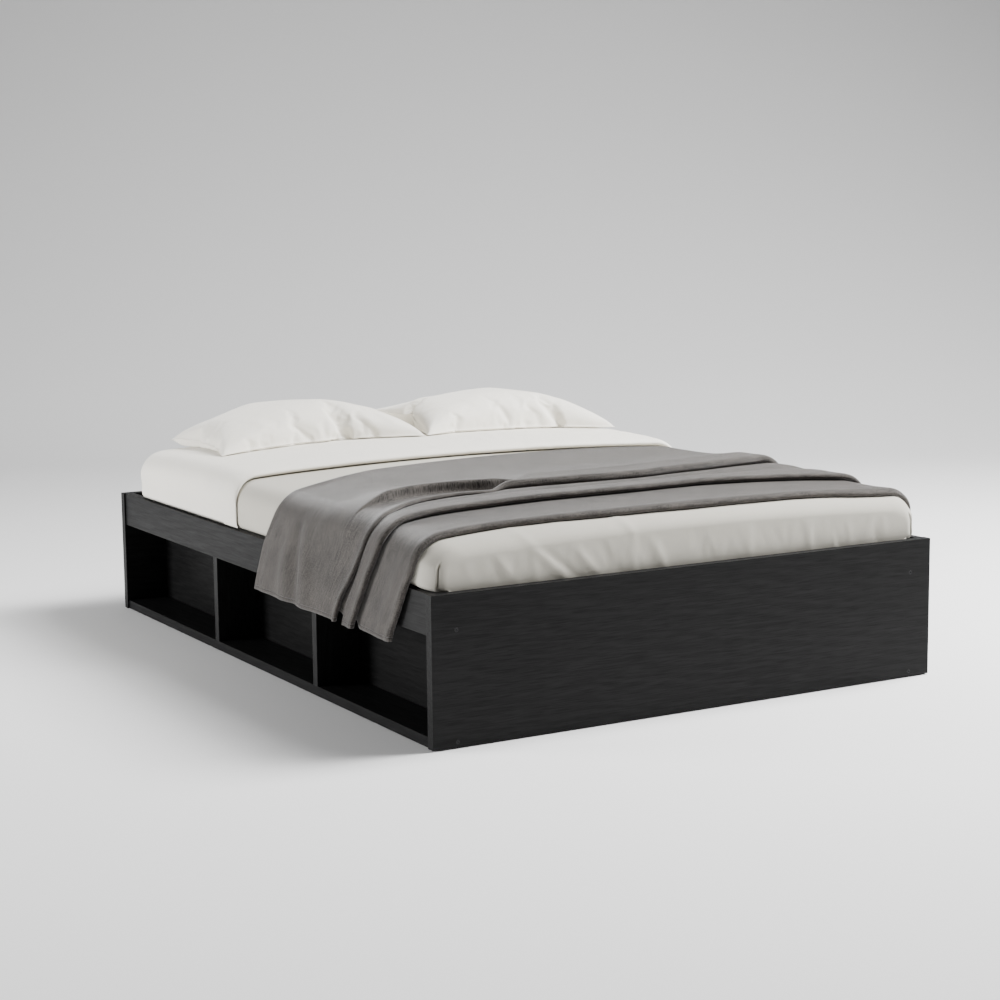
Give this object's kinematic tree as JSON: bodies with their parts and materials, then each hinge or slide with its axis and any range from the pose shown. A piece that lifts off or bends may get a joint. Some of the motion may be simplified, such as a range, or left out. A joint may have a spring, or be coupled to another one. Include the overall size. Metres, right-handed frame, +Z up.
{
  "type": "platform bed",
  "caption": "Low black-stained platform bed with open shelf bays along both sides, slatted base, mattress, sheet, quilt, pillows and a draped woven throw.",
  "frame": {"origin": "on the floor, at the centre of the bed's footprint", "axes": "+X across the bed to the right seen from the foot, +Y along the bed from foot to head, +Z up"},
  "size_m": [1.5155, 2, 0.6477],
  "materials": {
    "black_board": "satin black stain over open ash-like grain",
    "black_rail": "satin black stain over open ash-like grain",
    "black_back_board": "satin black board, faint grain",
    "plain_pine": "planed and unfinished",
    "black_steel": "satin black powder coat",
    "foot_plastic": "matte black",
    "glide_felt_plastic": "matte black",
    "bolt_steel": "dark zinc, satin",
    "zinc": "bright zinc casting",
    "screw_zinc": "yellow zinc plating",
    "mattress_cover": "knitted ticking",
    "sheet_cotton": "soft off-white woven cotton",
    "quilt_linen": "soft off-white washed linen",
    "pillow_linen": "soft off-white washed linen",
    "throw_weave": "heathered grey plain weave"
  },
  "bodies": {
    "frame": {"foot_panel": "black_board", "head_panel": "black_board", "left_side_rail": "black_rail", "right_side_rail": "black_rail", "left_bottom_board": "black_board", "right_bottom_board": "black_board", "left_top_board": "black_board", "right_top_board": "black_board", "left_back_panel": "black_back_board", "right_back_panel": "black_back_board", "left_head_divider": "black_board", "left_foot_divider": "black_board", "right_head_divider": "black_board", "right_foot_divider": "black_board", "centre_beam": "plain_pine", "head_beam_bracket": "black_steel", "foot_beam_bracket": "black_steel", "centre_leg_1": "black_steel", "centre_leg_2": "black_steel", "centre_leg_3": "black_steel", "leg_feet": "foot_plastic", "slat_1": "plain_pine", "slat_2": "plain_pine", "slat_3": "plain_pine", "slat_4": "plain_pine", "slat_5": "plain_pine", "slat_6": "plain_pine", "slat_7": "plain_pine", "slat_8": "plain_pine", "slat_9": "plain_pine", "slat_10": "plain_pine", "slat_11": "plain_pine", "slat_12": "plain_pine", "slat_13": "plain_pine", "connecting_bolts": "bolt_steel", "wood_dowels": "plain_pine", "rail_cams": "zinc", "rail_cam_bolts": "zinc", "divider_screws": "screw_zinc", "back_panel_screws": "screw_zinc", "slat_screws": "screw_zinc", "bracket_screws": "screw_zinc", "leg_screws": "screw_zinc", "floor_glides": "glide_felt_plastic"},
    "mattress": {"mattress": "mattress_cover", "fitted_sheet": "sheet_cotton"},
    "quilt": {"quilt": "quilt_linen"},
    "pillow_left": {"pillow_left": "pillow_linen"},
    "pillow_right": {"pillow_right": "pillow_linen"},
    "throw": {"throw": "throw_weave"}
  },
  "joints": [
    {"name": "mattress_lift", "type": "slide", "parent": "frame", "child": "mattress", "axis": [0, 0, 1], "range_m": [0, 0.3]},
    {"name": "quilt_lift", "type": "slide", "parent": "mattress", "child": "quilt", "axis": [0, 0, 1], "range_m": [0, 0.25]},
    {"name": "pillow_left_lift", "type": "slide", "parent": "quilt", "child": "pillow_left", "axis": [0, 0, 1], "range_m": [0, 0.25]},
    {"name": "pillow_right_lift", "type": "slide", "parent": "quilt", "child": "pillow_right", "axis": [0, 0, 1], "range_m": [0, 0.25]},
    {"name": "throw_lift", "type": "slide", "parent": "mattress", "child": "throw", "axis": [0, 0, 1], "range_m": [0, 0.4]}
  ]
}
